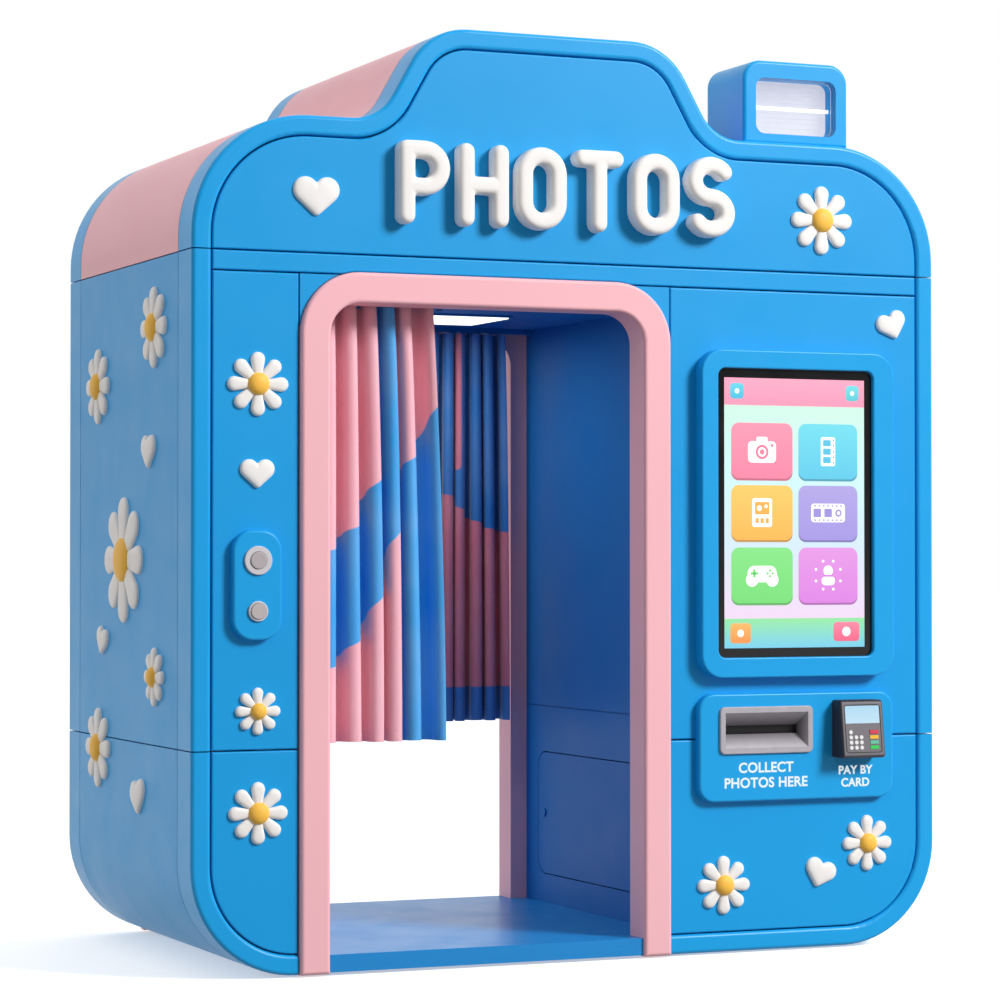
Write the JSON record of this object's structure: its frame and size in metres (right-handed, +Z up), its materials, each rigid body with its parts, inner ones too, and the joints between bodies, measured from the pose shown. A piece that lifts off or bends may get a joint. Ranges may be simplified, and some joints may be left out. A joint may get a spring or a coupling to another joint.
{
  "type": "photo booth",
  "caption": "Walk-through photo booth with a curtained doorway front and back, a touch screen, card reader and strip tray on the front, and a flash lamp on its rounded roof.",
  "frame": {"origin": "on the floor under the middle of the booth, on the underside of the middle levelling foot", "axes": "+X to the right along the front, +Y from the front to the back, +Z up"},
  "size_m": [2.046, 1.148, 2.271],
  "materials": {
    "pink_trim": "satin",
    "blue_panel": "satin",
    "blue_rim": "satin",
    "blue_lining": "satin",
    "floor_covering": "matte",
    "frame_steel": "satin",
    "white_letter": "satin",
    "yellow_centre": "satin",
    "white_heart": "satin",
    "curtain_fabric": "woven",
    "curtain_track": "anodised",
    "glider_plastic": "matte",
    "hinge_steel": "brushed",
    "light_metal": "satin",
    "light_diffuser": "frosted",
    "screen_glass": "polished",
    "black_equipment": "textured",
    "tray_grey": "satin",
    "reader_plastic": "textured",
    "reader_screen": "polished",
    "number_key_rubber": "matte",
    "red_key": "matte",
    "yellow_key": "matte",
    "teal_key": "matte",
    "green_key": "matte",
    "start_cap": "gloss",
    "lens_glass": "polished"
  },
  "bodies": {
    "booth": {"back_door_frame": "pink_trim", "back_panels": "blue_panel", "base_skin": "blue_panel", "button_bezels": "tray_grey", "button_plate": "blue_rim", "camera": "black_equipment", "card_reader": "reader_plastic", "ceiling_light": "light_metal", "ceiling_light_diffuser": "light_diffuser", "ceiling_panel": "blue_lining", "column_panels": "blue_panel", "curtain_rails": "curtain_track", "daisy_centres": "yellow_centre", "daisy_petals": "white_letter", "door_surround": "blue_panel", "equipment_shelf": "frame_steel", "flash_housing": "blue_rim", "flash_lens": "lens_glass", "flash_reflector": "light_metal", "flash_tube": "lens_glass", "floor_platform": "floor_covering", "front_door_frame": "pink_trim", "hatch_hinges": "hinge_steel", "header_band": "blue_panel", "hearts": "white_heart", "inner_wall_left": "blue_lining", "inner_wall_right": "blue_lining", "levelling_feet": "frame_steel", "mains_inlet": "black_equipment", "outlet_plate": "blue_rim", "panel_pc": "black_equipment", "photo_printer": "black_equipment", "reader_display": "reader_screen", "rim_bases": "blue_rim", "rim_tops": "blue_rim", "rim_uprights": "blue_rim", "roof_skin": "pink_trim", "screen_bezel": "blue_rim", "service_panels": "blue_panel", "side_panels": "blue_panel", "sign_letters": "white_letter", "sign_panel": "blue_panel", "steel_frame": "frame_steel", "strip_tray": "tray_grey", "touch_screen": "screen_glass"},
    "front_curtain_lead": {"front_lead_glider": "glider_plastic", "front_curtain": "curtain_fabric"},
    "front_curtain_middle": {"front_mid_gliders": "glider_plastic"},
    "back_curtain_lead": {"back_lead_glider": "glider_plastic", "back_curtain": "curtain_fabric"},
    "back_curtain_middle": {"back_mid_gliders": "glider_plastic"},
    "start_button": {"start_button": "start_cap"},
    "call_button": {"call_button": "tray_grey"},
    "cancel_key": {"cancel_key": "red_key"},
    "clear_key": {"clear_key": "yellow_key"},
    "info_key": {"info_key": "teal_key"},
    "enter_key": {"enter_key": "green_key"},
    "number_keys": {"number_keys": "number_key_rubber"},
    "service_hatch": {"service_hatch": "blue_lining", "hatch_fittings": "hinge_steel"}
  },
  "joints": [
    {"name": "front_curtain_slide", "type": "slide", "parent": "booth", "child": "front_curtain_lead", "axis": [1, 0, 0], "range_m": [0, 0.488], "deforming": ["front_curtain"]},
    {"name": "front_curtain_follow", "type": "slide", "parent": "booth", "child": "front_curtain_middle", "axis": [1, 0, 0], "range_m": [0, 0.244]},
    {"name": "back_curtain_slide", "type": "slide", "parent": "booth", "child": "back_curtain_lead", "axis": [-1, 0, 0], "range_m": [0, 0.6], "deforming": ["back_curtain"]},
    {"name": "back_curtain_follow", "type": "slide", "parent": "booth", "child": "back_curtain_middle", "axis": [-1, 0, 0], "range_m": [0, 0.3]},
    {"name": "start_button_press", "type": "slide", "parent": "booth", "child": "start_button", "axis": [0, 1, 0], "range_m": [0, 0.004], "stiffness_N_per_m": 600},
    {"name": "call_button_press", "type": "slide", "parent": "booth", "child": "call_button", "axis": [0, 1, 0], "range_m": [0, 0.003], "stiffness_N_per_m": 600},
    {"name": "cancel_key_press", "type": "slide", "parent": "booth", "child": "cancel_key", "axis": [0, 0.994, -0.1097], "range_m": [0, 0.001], "stiffness_N_per_m": 400},
    {"name": "clear_key_press", "type": "slide", "parent": "booth", "child": "clear_key", "axis": [0, 0.994, -0.1097], "range_m": [0, 0.001], "stiffness_N_per_m": 400},
    {"name": "info_key_press", "type": "slide", "parent": "booth", "child": "info_key", "axis": [0, 0.994, -0.1097], "range_m": [0, 0.001], "stiffness_N_per_m": 400},
    {"name": "enter_key_press", "type": "slide", "parent": "booth", "child": "enter_key", "axis": [0, 0.994, -0.1097], "range_m": [0, 0.001], "stiffness_N_per_m": 400},
    {"name": "number_keys_press", "type": "slide", "parent": "booth", "child": "number_keys", "axis": [0, 0.994, -0.1097], "range_m": [0, 0.001], "stiffness_N_per_m": 600},
    {"name": "service_hatch_swing", "type": "hinge", "parent": "booth", "child": "service_hatch", "pos_m": [0.279, -0.247, 0.2945], "axis": [0, 0, 1], "range_deg": [0, 110]}
  ],
  "couplings": [
    {"joint": "front_curtain_follow", "follows": "front_curtain_slide", "ratio": 0.5},
    {"joint": "back_curtain_follow", "follows": "back_curtain_slide", "ratio": 0.5}
  ]
}
